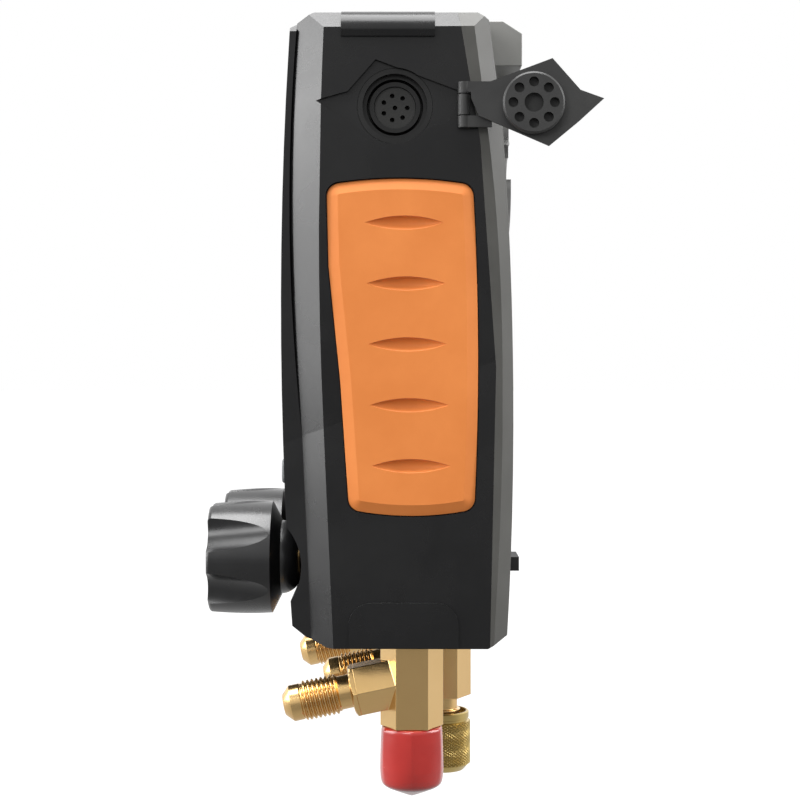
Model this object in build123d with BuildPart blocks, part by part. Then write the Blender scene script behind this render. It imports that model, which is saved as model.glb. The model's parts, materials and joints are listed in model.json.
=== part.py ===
from build123d import *
from math import cos, radians, sin
import os

os.makedirs("parts", exist_ok=True)

# Two-valve digital refrigerant manifold gauge.
# Frame: +Z up, the display faces -Y, the high-pressure side is +X.
# Origin: middle of the hanging hook's hinge pin, at the rear of the top.

# ---- casing (mm) ----
body_width = 112.0
body_height = 175.0
wall = 2.5
top_z = 6.2                       # top of the casing above the hook pin
axis_y = -31.2                    # plumb line through the casing, in front of the hook pin
front_bulge = 33.0                # furthest forward point of the front, from the plumb line
rear_bulge = 30.8
waist_depth = 2.3                 # how far each side is drawn in at the diagonal crease
waist_rise = 68.5                 # crease height above the bottom, on the plumb line
waist_angle = 21.6
front_strip = 6.3                 # bevel between side and front frame
rear_strip = 4.5                  # bevel between side and back
top_bevel = 5.0
roof_thickness = 6.3
floor_thickness = 4.0
fit_gap = 0.3                     # between mouldings of different bodies
run_gap = 0.05                    # radial gap of a running fit
seat_gap = 0.1                    # between curved faces of one body
bottom_z = top_z - body_height
half_width = body_width / 2

# ---- valves and knobs ----
valve_pitch = 48.0
valve_rise = 21.6                 # valve axis above the casing bottom
knob_radius = 16.1
knob_length = 20.7
knob_lobes = 6
knob_front = 55.0                 # knob face in front of the plumb line
hub_radius = 10.6
hub_length = 5.6
stem_radius = 3.0
bonnet_radius = 6.5
trough_radius = 16.5
trough_depth = 5.6
valve_z = bottom_z + valve_rise
block_front = 16.0                # valve block, in front of the plumb line
block_back = 20.5                 # and behind it
block_height = 23.6
sight_radius = 5.0

# ---- ports: 1/4 inch SAE flare fittings ----
flare_radius = 5.55
hex_flats = 15.3
tee_inset = 12.0                  # outer tee axis in from the casing side
tee_y = 3.3
centre_tee_y = 12.8
hex_drop = 23.2                   # bottom of the tee's hexagon below the casing
shank_radius = 5.5
shank_length = 10.0
port_length = 12.0
branch_angle = 12.0
branch_drop = 10.0                # branch axis below the casing at the tee
branch_length = 36.5
branch_hex_flats = 13.4
branch_hex_end = 17.2
neck_length = 4.0
flare_tip = 5.2
port_bore = 2.4
vinyl_radius = 9.1
vinyl_length = 19.6
knurl_radius = 8.6
knurl_length = 17.8
knurl_gap = 4.6                   # from the hexagon to the knurled cap

# ---- side features ----
socket_drop = 26.3                # probe socket centre below the top
socket_y = -1.4
socket_bore = 8.9
socket_wall = 1.4
socket_depth = 12.0
star_depth = 1.2
cover_hinge_y = 18.8              # hinge line behind the socket's axis
cover_hinge_out = 1.0             # hinge line outside the casing side
cover_thickness = 1.1
plug_radius = 8.4
plug_depth = 2.5
pad_gap_top = 46.2
pad_rise = 36.3
pad_proud = 1.6
pad_bed = 1.2
groove_count = 5
groove_length = 21.8
groove_height = 3.9
lug_length = 25.7
lug_height = 7.4

# ---- front ----
lens_width = 88.0
lens_top_gap = 15.0
lens_thickness = 1.5
lens_ledge = 2.0
key_width = 13.0
key_height = 7.0
key_pitch = 19.0
key_proud = 1.1
key_travel = 0.8
key_count = 4
frame_back = 24.0                 # back plane of the front frame, before the plumb line
board_thickness = 1.6
lcd_thickness = 4.0

# ---- rear ----
rest_setback = 3.4                # resting plane behind the hook pin
bracket_width = 76.0
bracket_height = 12.7
hook_barrel = 3.0
hook_pin_radius = 1.5
hook_width = 14.0
hook_reach = 38.0
hook_outer = 15.0
hook_inner = 9.5
hook_plate = 3.4
bay_floor = 2.2                   # bay floor in front of the hook pin
rear_wall = 4.3
cell_radius = 7.1
cell_length = 50.0
door_width = 66.0
door_height = 34.0
door_rise = 27.5
door_thickness = 2.5
foot_rise = 19.6
foot_height = 4.0
foot_width = 14.0
foot_x = 18.0
screw_radius = 1.5
screw_head = 2.9


def save(builder, name):
    """Label a finished piece and write it."""
    builder.part.label = name
    export_step(builder.part, f"parts/{name}.step")


# ---------------------------------------------------------------- casing forms
def side_outline(inset=0.0):
    """Side view of the casing: bulging front and back, bevelled corners."""
    with BuildSketch(Plane.YZ) as outline:
        with BuildLine():
            front_top = (axis_y - 30.5, top_z - 3.8)
            front_low = (axis_y - 29.9, bottom_z + 5.3)
            rear_low = (axis_y + 29.6, bottom_z + 3.2)
            rear_high = (axis_y + 28.4, top_z - 31.2)
            ThreePointArc(front_top, (axis_y - front_bulge, top_z - 68.0), front_low)
            Polyline(front_low, (axis_y - 26.0, bottom_z + 2.2), (axis_y - 20.0, bottom_z),
                     (axis_y + 24.1, bottom_z), rear_low)
            ThreePointArc(rear_low, (axis_y + rear_bulge, bottom_z + 100.0), rear_high)
            Polyline(rear_high, (axis_y + 24.6, top_z - 2.1), (axis_y + 21.5, top_z),
                     (axis_y - 23.7, top_z), front_top)
        make_face()
        if inset:
            offset(amount=-inset, kind=Kind.INTERSECTION)
    return outline.sketch


def casing_form(half, inset=0.0):
    """Casing block of one half width: side outline, waisted sides, bevelled top corners."""
    crease = (0, cos(radians(waist_angle)), sin(radians(waist_angle)))
    crease_z = bottom_z + waist_rise
    corner_rise = front_bulge * sin(radians(waist_angle))
    reach_up = (top_z - crease_z) * cos(radians(waist_angle)) + corner_rise
    reach_down = (crease_z - bottom_z) * cos(radians(waist_angle)) + corner_rise
    with BuildPart() as form:
        extrude(side_outline(inset), amount=half, both=True)
        for side in (-1, 1):
            with BuildSketch(Plane(origin=(side * half, axis_y, crease_z), x_dir=(side, 0, 0),
                                   z_dir=crease)):
                with BuildLine():
                    up = side * -1.5
                    Polyline((-waist_depth, 0), (waist_depth / 2, up * reach_up),
                             (waist_depth / 2, -up * reach_down), close=True)
                make_face()
            extrude(amount=body_height / 2, both=True, mode=Mode.SUBTRACT)
            with BuildSketch(Plane.XZ.offset(-axis_y)):
                with BuildLine():
                    Polyline((side * (half + 1), top_z - inset - top_bevel - 1),
                             (side * (half + 1), top_z - inset + 1),
                             (side * (half - top_bevel - 1), top_z - inset + 1), close=True)
                make_face()
            extrude(amount=body_height / 2, both=True, mode=Mode.SUBTRACT)
    return form.part


def slab(line_points, to_y, half, arc=None):
    """Slab across the casing between a run of (y, z) points and the plane to_y."""
    with BuildPart() as region:
        with BuildSketch(Plane.YZ):
            with BuildLine():
                if arc:
                    ThreePointArc(line_points[0], arc, line_points[1])
                    Polyline(*line_points[1:])
                else:
                    Polyline(*line_points)
                Polyline(line_points[-1], (to_y, line_points[-1][1]),
                         (to_y, line_points[0][1]), line_points[0])
            make_face()
        extrude(amount=half, both=True)
    return region.part


def parting_slabs():
    """Everything behind the front parting line, and everything ahead of the rear one."""
    front_run = [(axis_y - 28.2, top_z + 1), (axis_y - 27.2, bottom_z + 58.0),
                 (axis_y - 24.5, bottom_z - 1)]
    rear_run = [(axis_y + 15.8, top_z + 1), (axis_y + 22.0, top_z - 36.0),
                (axis_y + 26.4, bottom_z + 77.0), (axis_y + 24.6, bottom_z - 1)]
    behind_front = slab(front_run, axis_y + body_width, half_width + 5,
                        arc=(axis_y - 30.7, top_z - 56.0))
    before_rear = slab(rear_run, axis_y - body_width, half_width + 5)
    return behind_front, before_rear


def cavity_block(low_z, high_z, shrink=0.0):
    """Eight-sided hollow of the casing, clear of the waist and the bevelled corners."""
    side_half = half_width - waist_depth - pad_bed - wall - shrink
    front_half = half_width - waist_depth - front_strip - wall - shrink
    rear_half = half_width - waist_depth - rear_strip - wall - shrink
    right_side = [(front_half, axis_y - body_width), (front_half, axis_y - frame_back),
                  (side_half, axis_y - frame_back + front_strip), (side_half, axis_y + 21.0),
                  (rear_half, axis_y + 26.0), (rear_half, axis_y + body_width)]
    left_side = [(-x, y) for x, y in reversed(right_side)]
    with BuildPart() as hollow:
        with BuildSketch(Plane.XY.offset(low_z)):
            with BuildLine():
                Polyline(*right_side, *left_side, close=True)
            make_face()
        extrude(amount=high_z - low_z)
    return hollow.part


behind_front, before_rear = parting_slabs()
casing = casing_form(half_width)
cavity_low = bottom_z + floor_thickness
cavity_high = top_z - roof_thickness
hollow = cavity_block(cavity_low, cavity_high)
spigot_hollow = cavity_block(cavity_low + seat_gap, cavity_high - seat_gap, seat_gap)
side_drop = waist_depth * 0.25              # side surface in from full width at the socket

inner_half = half_width - waist_depth - pad_bed - wall
socket_z = top_z - socket_drop
socket_mid_y = axis_y + socket_y
tee_x = half_width - tee_inset
valve_x = valve_pitch / 2
pad_top = top_z - pad_gap_top
pad_bottom = bottom_z + pad_rise
pad_middle = (pad_top + pad_bottom) / 2
pad_length = pad_top - pad_bottom
key_z = valve_z + knob_radius + 6.0 + key_height / 2
lens_bottom = key_z + key_height / 2 + 9.0
lens_top = top_z - lens_top_gap
lens_height = lens_top - lens_bottom
key_places = [((n - (key_count - 1) / 2) * key_pitch, key_z) for n in range(key_count)]
rest_y = rest_setback
door_low = bottom_z + door_rise
door_z = door_low + door_height / 2

hinge_y = socket_mid_y + cover_hinge_y
hinge_x = half_width + cover_hinge_out
knuckle_radius = 1.6
knuckle_pin = 0.8
anchor_half = 2.8
anchor_depth = 0.8
tab_reach = 6.2                   # the strap's tabs reach this far above and below the socket

# star-shaped seat of the probe socket and its cover, as (y, z) from the socket's centre
seat_tip = 21.0                   # reach of the seat's front point
cover_tip = 19.2                  # reach of the cover's front point
star_points = [(-12.8, 3.7), (-5.2, 12.3), (17.8, 3.7), (14.8, -3.3), (-4.3, -11.5), (-12.3, -4.9)]


def star(x, tip, grow=0.0):
    """Pointed star outline with a broad rear end, in the upright plane at x."""
    with BuildSketch(Plane.YZ.offset(x)) as shape:
        with BuildLine():
            Polyline(*[(socket_mid_y + y, socket_z + z) for y, z in [(-tip, 1.4)] + star_points],
                     close=True)
        make_face()
        if grow:
            offset(amount=grow, kind=Kind.INTERSECTION)
    return shape.sketch


def pad_outline(x, grow):
    """Waisted grip outline at x: front edge leans in towards the bottom, crowned ends."""
    front, rear, crown = axis_y - grow, axis_y + grow, 1.8 - grow
    top_front = (front - 20.2, pad_top - crown)
    top_rear = (rear + 20.0, pad_top - crown)
    low_front = (front - 14.0, pad_bottom + crown)
    low_rear = (rear + 20.4, pad_bottom + crown)
    with BuildSketch(Plane.YZ.offset(x)) as shape:
        with BuildLine():
            Polyline(low_front, (front - 16.4, pad_middle - 0.1 * pad_length),
                     (front - 19.6, pad_top - 0.26 * pad_length), top_front)
            ThreePointArc(top_front, (axis_y, pad_top + grow), top_rear)
            ThreePointArc(top_rear, (rear + 21.4, pad_middle), low_rear)
            ThreePointArc(low_rear, (axis_y + 3.0, pad_bottom - grow), low_front)
        make_face()
        corners = shape.vertices().sort_by(Axis.Y)
        fillet(corners[:2] + corners[-2:], 3.6 + grow)
    return shape.sketch


def mirrored(builder):
    """Left-hand copy of a right-hand piece."""
    with BuildPart() as other:
        add(builder.part.mirror(Plane.YZ))
    return other


# ---------------------------------------------------------------- main shell
pad_bed_x = half_width - waist_depth - pad_bed
seat_x = half_width - side_drop - star_depth
arch_width, arch_height, arch_proud = 30.0, 12.2, 0.7
lug_y = axis_y - 3.3
post_radius = 4.2
post_x = inner_half - post_radius + 0.3
post_places = [(side * post_x, z) for side in (-1, 1)
               for z in (top_z - 10.8, bottom_z + waist_rise + 3.0)]

with BuildPart() as main_shell:
    add(casing)
    add(behind_front, mode=Mode.INTERSECT)
    add(before_rear, mode=Mode.INTERSECT)
    front_edges = [edge for edge in main_shell.edges()
                   if edge.length > 40 and abs(edge.center().X) > half_width - 4
                   and edge.center().Y < axis_y - 20]
    chamfer(front_edges, front_strip)
    add(hollow, mode=Mode.SUBTRACT)
    for x, z in post_places:
        with BuildSketch(Plane.XZ.offset(-(axis_y - 6.0))):
            with Locations((x, z)):
                Circle(post_radius)
        extrude(amount=-22.0)
    add(before_rear, mode=Mode.INTERSECT)
    for side in (-1, 1):
        # corner rib across the top bevel
        with BuildSketch(Plane.XZ.offset(-(lug_y - lug_length / 2))):
            with BuildLine():
                Polyline((side * (half_width - 6.5), top_z - 0.05),
                         (side * (half_width - 3.4), top_z - 0.05))
                ThreePointArc((side * (half_width - 3.4), top_z - 0.05),
                              (side * (half_width - 0.3), top_z - 1.8),
                              (side * (half_width + 1.3), top_z - lug_height + 1.4))
                Polyline((side * (half_width + 1.3), top_z - lug_height + 1.4),
                         (side * (half_width + 0.6), top_z - lug_height),
                         (side * (half_width - 2.0), top_z - lug_height),
                         (side * (half_width - 6.5), top_z - 0.05))
            make_face()
        extrude(amount=-lug_length)
        # raised tab above the lower edge
        with BuildSketch(Plane.YZ.offset(side * (half_width - 2.0))) as arch:
            with Locations((axis_y + 1.0, bottom_z + 0.4 + arch_height / 2)):
                Rectangle(arch_width, arch_height)
            fillet(arch.vertices().sort_by(Axis.Y)[-2:], 6.0)
        extrude(amount=side * (2.0 + arch_proud))
        # bed of the grip pad and the star-shaped seat round the probe socket
        extrude(pad_outline(side * pad_bed_x, fit_gap), amount=side * 8, mode=Mode.SUBTRACT)
        with BuildPart(mode=Mode.PRIVATE) as seat_cut:
            extrude(star(side * seat_x, seat_tip, fit_gap), amount=side * 8)
            with BuildSketch(Plane.YZ.offset(side * (half_width - 20))):
                with Locations((socket_mid_y, socket_z)):
                    Circle(socket_bore + socket_wall + seat_gap)
            extrude(amount=side * 30)
            with BuildSketch(Plane.YZ.offset(side * (seat_x - anchor_depth - seat_gap))):
                with Locations((hinge_y, socket_z)):
                    Rectangle(2 * (knuckle_radius + seat_gap), 2 * (anchor_half + seat_gap))
            extrude(amount=side * 7)
        add(seat_cut.part, mode=Mode.SUBTRACT)
    for x, z in post_places:
        with BuildSketch(Plane.XZ.offset(-(axis_y + 30))):
            with Locations((x, z)):
                Circle(screw_radius)
        extrude(amount=30, mode=Mode.SUBTRACT)
    # holes of the three hose ports through the floor
    with BuildSketch(Plane.XY.offset(bottom_z)):
        with Locations((-tee_x, axis_y + tee_y), (tee_x, axis_y + tee_y), (0, axis_y + centre_tee_y)):
            Circle(shank_radius + seat_gap)
    extrude(amount=floor_thickness, mode=Mode.SUBTRACT)
save(main_shell, "main_shell")

# ---------------------------------------------------------------- front frame
frame_half = half_width - front_strip
window_inset = 0.4
stem_places = [(-valve_x, valve_z), (valve_x, valve_z)]
with BuildPart() as front_frame:
    add(casing_form(frame_half))
    add(behind_front, mode=Mode.SUBTRACT)
    with BuildPart(mode=Mode.PRIVATE) as spigot:
        add(spigot_hollow)
        with BuildSketch(Plane.XZ.offset(-(axis_y - frame_back))):
            Rectangle(body_width * 2, body_height * 4)
        extrude(amount=-body_width, mode=Mode.SUBTRACT)
        add(casing_form(frame_half), mode=Mode.INTERSECT)
    add(spigot.part)
    # cylindrical trough across the front behind the knobs
    with BuildSketch(Plane.YZ):
        with Locations((axis_y - front_bulge + trough_depth - trough_radius, valve_z)):
            Circle(trough_radius)
    extrude(amount=body_width, both=True, mode=Mode.SUBTRACT)
    # display window with a ledge for the lens
    with BuildSketch(Plane.XZ.offset(-(axis_y - front_bulge - 5))):
        with Locations((0, (lens_top + lens_bottom) / 2)):
            RectangleRounded(lens_width + 2 * fit_gap, lens_height + 2 * fit_gap, 4 + fit_gap)
    lens_pocket = extrude(amount=-front_bulge, mode=Mode.PRIVATE)
    add(lens_pocket - casing_form(frame_half, window_inset + lens_thickness + seat_gap), mode=Mode.SUBTRACT)
    with BuildSketch(Plane.XZ.offset(-(axis_y - front_bulge - 5))):
        with Locations((0, (lens_top + lens_bottom) / 2)):
            RectangleRounded(lens_width - 2 * lens_ledge, lens_height - 2 * lens_ledge, 2.5)
        with Locations(*key_places):
            RectangleRounded(key_width + 2 * fit_gap, key_height + 2 * fit_gap, 2.5)
        with Locations(*stem_places):
            Circle(bonnet_radius + fit_gap)
        with Locations((0, valve_z)):
            Circle(sight_radius + 2.0 + fit_gap)
    extrude(amount=-front_bulge, mode=Mode.SUBTRACT)
save(front_frame, "front_frame")

with BuildPart() as display_lens:
    with BuildSketch(Plane.XZ.offset(-(axis_y - front_bulge - 5))):
        with Locations((0, (lens_top + lens_bottom) / 2)):
            RectangleRounded(lens_width, lens_height, 4)
    extrude(amount=-front_bulge)
    add(casing_form(frame_half, window_inset), mode=Mode.INTERSECT)
    add(casing_form(frame_half, window_inset + lens_thickness), mode=Mode.SUBTRACT)
save(display_lens, "display_lens")

# ---------------------------------------------------------------- display and board
lcd_back = axis_y - frame_back + seat_gap + lcd_thickness
board_front = lcd_back
block_top = cavity_low + block_height
board_low = block_top + 2.0
with BuildPart() as lcd_module:
    with BuildSketch(Plane.XZ.offset(-(lcd_back - lcd_thickness))):
        with Locations((0, (lens_top + lens_bottom) / 2)):
            RectangleRounded(lens_width - 10, lens_height - 10, 1.5)
    extrude(amount=-lcd_thickness)
    with BuildSketch(Plane.XZ.offset(-(lcd_back - lcd_thickness))):
        with Locations((0, (lens_top + lens_bottom) / 2)):
            RectangleRounded(lens_width - 16, lens_height - 20, 1)
    extrude(amount=-0.5, mode=Mode.SUBTRACT)
save(lcd_module, "lcd_module")

with BuildPart() as main_board:
    with BuildSketch(Plane.XZ.offset(-board_front)):
        with Locations((0, (board_low + top_z - 12) / 2)):
            RectangleRounded(lens_width - 4, top_z - 12 - board_low, 2)
    extrude(amount=-board_thickness)
save(main_board, "main_board")

mat_thickness = 2.0
with BuildPart() as key_mat:
    with BuildSketch(Plane.XZ.offset(-board_front)):
        with Locations((0, key_z)):
            RectangleRounded(key_pitch * key_count + 2, key_height + 3, 2)
    extrude(amount=mat_thickness)
save(key_mat, "key_mat")

key_front = axis_y - front_bulge + 0.35 - key_proud
key_back = board_front - mat_thickness - key_travel - seat_gap
for number, (x, z) in enumerate(key_places, start=1):
    with BuildPart() as key:
        with BuildSketch(Plane.XZ.offset(-key_back)):
            with Locations((x, z)):
                RectangleRounded(key_width, key_height, 2.2)
        extrude(amount=key_back - key_front)
        fillet(key.faces().sort_by(Axis.Y)[0].edges(), 0.8)
    save(key, f"key_{number}")

# ---------------------------------------------------------------- rear shell
bay_half = hook_outer + 1.5
bay_low = -(hook_reach + hook_outer + 1.5)
door_pocket = door_thickness - 0.4
tray_half_x, tray_half_z = cell_length / 2 + 4.2, 2 * cell_radius + 1.7
cell_y = axis_y + rear_bulge - door_pocket - 0.8 - cell_radius
boss_places = [(-valve_x - 6, bottom_z + 12), (valve_x + 6, bottom_z + 12)]
block_back_y = axis_y + block_back
with BuildPart() as rear_shell:
    add(casing)
    add(before_rear, mode=Mode.SUBTRACT)
    back_edges = [edge for edge in rear_shell.edges()
                  if edge.length > 20 and abs(edge.center().X) > half_width - 4
                  and edge.center().Y > axis_y + 27]
    chamfer(back_edges, rear_strip)
    with BuildPart(mode=Mode.PRIVATE) as rear_hollow:
        add(casing_form(half_width, rear_wall))
        with BuildSketch(Plane.XZ.offset(-(axis_y - 40))):
            with Locations((0, (cavity_high + cavity_low) / 2)):
                Rectangle(2 * (post_x - 5.0), cavity_high - cavity_low)
        extrude(amount=-80, mode=Mode.INTERSECT)
    add(rear_hollow.part, mode=Mode.SUBTRACT)
    # bosses that clamp the valve block, then the screw holes with flat-bottomed heads
    with BuildSketch(Plane.XZ.offset(-block_back_y)):
        with Locations(*boss_places):
            Circle(post_radius)
    extrude(amount=-(rear_bulge - block_back - 2.5))
    with BuildSketch(Plane.XZ.offset(-(axis_y + 10))):
        with Locations(*post_places, *boss_places):
            Circle(screw_radius + seat_gap)
    extrude(amount=-40, mode=Mode.SUBTRACT)
    for x, z in post_places + boss_places:
        with BuildSketch(Plane.XZ.offset(-(axis_y + (22.5 if z > -10 else 27.0)))):
            with Locations((x, z)):
                Circle(screw_head + seat_gap)
        extrude(amount=-20, mode=Mode.SUBTRACT)
    # bay for the folded hook
    with BuildSketch(Plane.XZ.offset(bay_floor)):
        with Locations((0, bay_low / 2)):
            RectangleRounded(2 * bay_half, -bay_low, 3)
    extrude(amount=-20, mode=Mode.SUBTRACT)
    # battery opening with a ledge for the door
    with BuildSketch(Plane.XZ.offset(-axis_y)):
        with Locations((0, door_z)):
            RectangleRounded(door_width + 2 * fit_gap, door_height + 2 * fit_gap, 2)
        with Locations((0, door_low - fit_gap + door_thickness)):
            Rectangle(door_width + 2 * fit_gap, 2 * door_thickness)
    door_hole = extrude(amount=-60, mode=Mode.PRIVATE)
    add(door_hole - casing_form(half_width, door_pocket + 0.1), mode=Mode.SUBTRACT)
    with BuildSketch(Plane.XZ.offset(-axis_y)):
        with Locations((0, door_z)):
            Rectangle(2 * (cell_length / 2 + 3.6), 4 * cell_radius + 2)
    extrude(amount=-60, mode=Mode.SUBTRACT)
save(rear_shell, "rear_shell")

# the door's lower edge is a round barrel that turns against the opening's edge
door_corner = 1.7
barrel_radius = door_thickness / 2
barrel_z = door_low + barrel_radius
surface_probe = casing & Pos(0, axis_y + rear_bulge, barrel_z) * Box(1, rear_bulge, 0.01)
barrel_y = surface_probe.bounding_box().max.Y - door_pocket + barrel_radius
with BuildPart() as battery_door:
    with BuildSketch(Plane.XZ.offset(-axis_y)):
        with Locations((0, door_z)):
            RectangleRounded(door_width, door_height, door_corner)
    extrude(amount=-60)
    add(casing_form(half_width, door_pocket - door_thickness), mode=Mode.INTERSECT)
    add(casing_form(half_width, door_pocket), mode=Mode.SUBTRACT)
    with BuildSketch(Plane.XZ.offset(-axis_y)):
        with Locations((0, barrel_z - 5)):
            Rectangle(body_width, 10)
    extrude(amount=-60, mode=Mode.SUBTRACT)
    with Locations((0, barrel_y, barrel_z)):
        Cylinder(barrel_radius, door_width - 2 * door_corner, rotation=(0, 90, 0))
    with BuildSketch(Plane.XZ.offset(-(axis_y + rear_bulge - 0.7))):
        with GridLocations(0, 2.6, 1, 5):
            with Locations((0, door_z + door_height / 2 - 9)):
                RectangleRounded(22, 1.2, 0.5)
    extrude(amount=-10, mode=Mode.SUBTRACT)
save(battery_door, "battery_door")

with BuildPart() as battery_tray:
    tray_depth = 4 * cell_radius + 2.2
    with BuildSketch(Plane.XZ.offset(-(cell_y + 4.6))):
        with Locations((0, door_z)):
            RectangleRounded(2 * tray_half_x, 2 * tray_half_z, 1)
    extrude(amount=tray_depth)
    with BuildSketch(Plane.XZ.offset(-(cell_y + 4.6))):
        with Locations((0, door_z)):
            Rectangle(2 * tray_half_x - 2.4, 2 * tray_half_z - 2.4)
    extrude(amount=tray_depth - 1.2, mode=Mode.SUBTRACT)
save(battery_tray, "battery_tray")

cell_places = [(y, door_z + dz) for y in (cell_y, cell_y - 2 * cell_radius - 0.6)
               for dz in (-cell_radius - 0.2, cell_radius + 0.2)]
with BuildPart() as batteries:
    with BuildSketch(Plane.YZ.offset(-cell_length / 2)):
        with Locations(*cell_places):
            Circle(cell_radius)
    extrude(amount=cell_length - 1.2)
    with BuildSketch(Plane.YZ.offset(cell_length / 2 - 1.2)):
        with Locations(*cell_places):
            Circle(2.6)
    extrude(amount=1.2)
save(batteries, "batteries")

with BuildPart() as battery_contacts:
    for side in (-1, 1):
        with BuildSketch(Plane.YZ.offset(side * (tray_half_x - 1.3))):
            with Locations(*cell_places):
                Rectangle(10, 10)
        extrude(amount=side * -0.4)
        with BuildSketch(Plane.YZ.offset(side * (tray_half_x - 1.7))):
            with Locations(*cell_places):
                Circle(3)
        extrude(amount=side * -(tray_half_x - 1.8 - cell_length / 2))
save(battery_contacts, "battery_contacts")

# ---------------------------------------------------------------- hook, its bracket and the feet
with BuildPart() as hook_bracket:
    with BuildSketch(Plane.YZ):
        with BuildLine():
            Polyline((-10, top_z), (rest_y - 5.4, top_z), (rest_y, top_z - 3.5),
                     (rest_y, top_z - bracket_height), (-10, top_z - bracket_height), close=True)
        make_face()
    extrude(amount=bracket_width / 2, both=True)
    add(casing, mode=Mode.SUBTRACT)
    with BuildSketch(Plane.YZ):
        Rectangle(40, 40)
    extrude(amount=hook_width / 2 + fit_gap, both=True, mode=Mode.SUBTRACT)
    with BuildSketch(Plane.YZ):
        Circle(hook_pin_radius)
    extrude(amount=hook_width / 2 + 6, both=True, mode=Mode.SUBTRACT)
save(hook_bracket, "hook_bracket")

with BuildPart() as hook_pin:
    with BuildSketch(Plane.YZ):
        Circle(hook_pin_radius)
    extrude(amount=hook_width / 2 + 5.9, both=True)
save(hook_pin, "hook_pin")

with BuildPart() as hanging_hook:
    with BuildSketch(Plane.YZ):
        Circle(hook_barrel)
    extrude(amount=hook_width / 2, both=True)
    with BuildSketch(Plane.XZ.offset(hook_plate / 2)):
        with Locations((0, -(hook_reach - hook_outer + 2) / 2)):
            Rectangle(8, hook_reach - hook_outer + 2)
        with Locations((0, -hook_reach)):
            Circle(hook_outer)
            Circle(hook_inner, mode=Mode.SUBTRACT)
        with Locations((hook_outer / 2 + 1.8, -hook_reach + hook_inner / 2 + 2.4)):
            Rectangle(hook_outer + 3.6 - 4, hook_inner + 1.6, mode=Mode.SUBTRACT)
    extrude(amount=-hook_plate)
    with BuildSketch(Plane.YZ):
        Circle(hook_pin_radius + run_gap)
    extrude(amount=hook_width, both=True, mode=Mode.SUBTRACT)
save(hanging_hook, "hanging_hook")

with BuildPart() as rear_feet:
    with BuildSketch(Plane.XZ.offset(-rest_y)):
        with Locations((-foot_x, bottom_z + foot_rise), (foot_x, bottom_z + foot_rise)):
            Rectangle(foot_width, foot_height)
    extrude(amount=12)
    add(casing, mode=Mode.SUBTRACT)
save(rear_feet, "rear_feet")

with BuildPart() as housing_screws:
    for x, z in post_places + boss_places:
        head_y = axis_y + (22.5 if z > -10 else 27.0) + seat_gap
        with BuildSketch(Plane.XZ.offset(-head_y)):
            with Locations((x, z)):
                Circle(screw_radius - run_gap)
        extrude(amount=10)
        with BuildSketch(Plane.XZ.offset(-head_y)):
            with Locations((x, z)):
                Circle(screw_head)
                RegularPolygon(1.2, 6, mode=Mode.SUBTRACT)
        extrude(amount=-1.6)
save(housing_screws, "housing_screws")

# ---------------------------------------------------------------- valve block
block_half = inner_half - fit_gap
block_front_y = axis_y - block_front
port_places = [(-tee_x, axis_y + tee_y), (tee_x, axis_y + tee_y), (0, axis_y + centre_tee_y)]
bonnet_thread = 5.0
bonnet_thread_length = 6.0
bonnet_hex = 14.0
bonnet_hex_length = 5.0
plunger_radius = 2.1
with BuildPart() as valve_block:
    with BuildSketch(Plane.XY.offset(cavity_low)):
        with Locations((0, (block_front_y + block_back_y) / 2)):
            RectangleRounded(2 * block_half, block_back_y - block_front_y, 2)
    extrude(amount=block_height)
    with BuildSketch(Plane.XZ.offset(-block_front_y)):
        with Locations(*stem_places):
            Circle(bonnet_thread + run_gap)
    extrude(amount=-bonnet_thread_length, mode=Mode.SUBTRACT)
    with BuildSketch(Plane.XZ.offset(-block_front_y)):
        with Locations(*stem_places):
            Circle(plunger_radius + run_gap)
    extrude(amount=-16, mode=Mode.SUBTRACT)
    with BuildSketch(Plane.XZ.offset(-block_front_y)):
        with Locations((0, valve_z)):
            Circle(sight_radius)
    extrude(amount=-10, mode=Mode.SUBTRACT)
    with BuildSketch(Plane.XY.offset(cavity_low)):
        with Locations(*port_places):
            Circle(shank_radius + run_gap)
    extrude(amount=shank_length - floor_thickness + seat_gap, mode=Mode.SUBTRACT)
    with BuildSketch(Plane.XZ.offset(-block_back_y)):
        with Locations(*boss_places):
            Circle(screw_radius)
    extrude(amount=8, mode=Mode.SUBTRACT)
save(valve_block, "valve_block")

# ---------------------------------------------------------------- valve trains, made along +Z
inward = (-90, 0, 0)                        # turns +Z of a piece to point into the casing


def placed(part, x, y, z, turn=(0, 0, 0)):
    """Copy of a finished form, turned and moved to its place."""
    with BuildPart() as piece:
        add(part.moved(Location((x, y, z), turn)))
    return piece


bonnet_front = trough_depth - front_bulge - 0.7       # from the plumb line
bonnet_reach = -block_front - bonnet_front
with BuildPart() as bonnet_form:
    Cylinder(bonnet_radius, bonnet_reach, align=(Align.CENTER, Align.CENTER, Align.MIN))
    with BuildSketch(Plane.XY.offset(bonnet_reach - bonnet_hex_length)):
        RegularPolygon(bonnet_hex / 2, 6, major_radius=False)
    extrude(amount=bonnet_hex_length)
    with BuildSketch(Plane.XY.offset(bonnet_reach)):
        Circle(bonnet_thread)
    extrude(amount=bonnet_thread_length)
    with BuildSketch(Plane.XY):
        Circle(stem_radius + run_gap)
    extrude(amount=bonnet_reach + bonnet_thread_length, mode=Mode.SUBTRACT)
    with BuildSketch(Plane.XY.offset(bonnet_reach - 3.0)):
        Circle(stem_radius + 1.7)
    extrude(amount=2.0, mode=Mode.SUBTRACT)
    chamfer(bonnet_form.faces().sort_by(Axis.Z)[0].outer_wire().edges(), 0.5)

with BuildPart() as seal_form:
    with BuildSketch(Plane.XZ):
        with Locations((stem_radius + run_gap + 0.8, bonnet_reach - 2.0)):
            Circle(0.8)
    revolve(axis=Axis.Z)

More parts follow.
